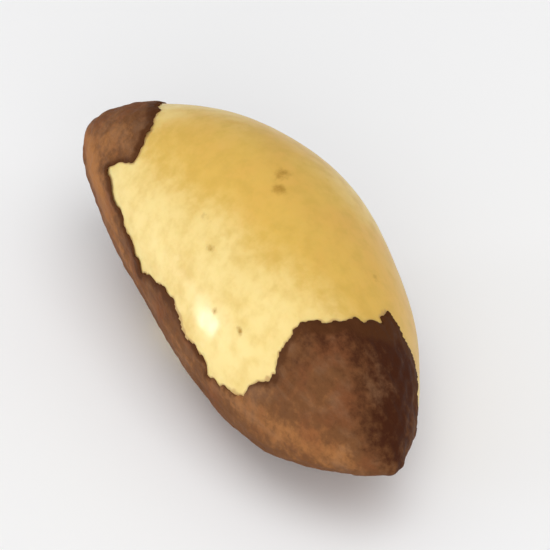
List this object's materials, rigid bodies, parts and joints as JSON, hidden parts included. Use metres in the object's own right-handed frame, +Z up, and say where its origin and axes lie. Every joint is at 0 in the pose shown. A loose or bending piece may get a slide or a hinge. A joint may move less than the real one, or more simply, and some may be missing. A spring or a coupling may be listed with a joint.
{
  "type": "shelled brazil nut kernel",
  "caption": "Shelled nut kernel with an angular tip and a blunt end, cream flesh and torn brown skin at the ends and edges, lying on a small flat spot.",
  "frame": {"origin": "centre of the bounding box's footprint, at the height of the flat spot it rests on", "axes": "+Z up as the kernel lies; +X along the kernel towards its pointed tip; +Y towards its bulging far side"},
  "size_m": [0.04, 0.017, 0.0154],
  "materials": {
    "kernel_flesh": "smooth waxy cream nut flesh with a soft sheen, no grain",
    "seed_skin": "dull thin brown seed skin, finely streaked along the nut"
  },
  "bodies": {
    "root": {"kernel": "kernel_flesh"}
  },
  "joints": []
}
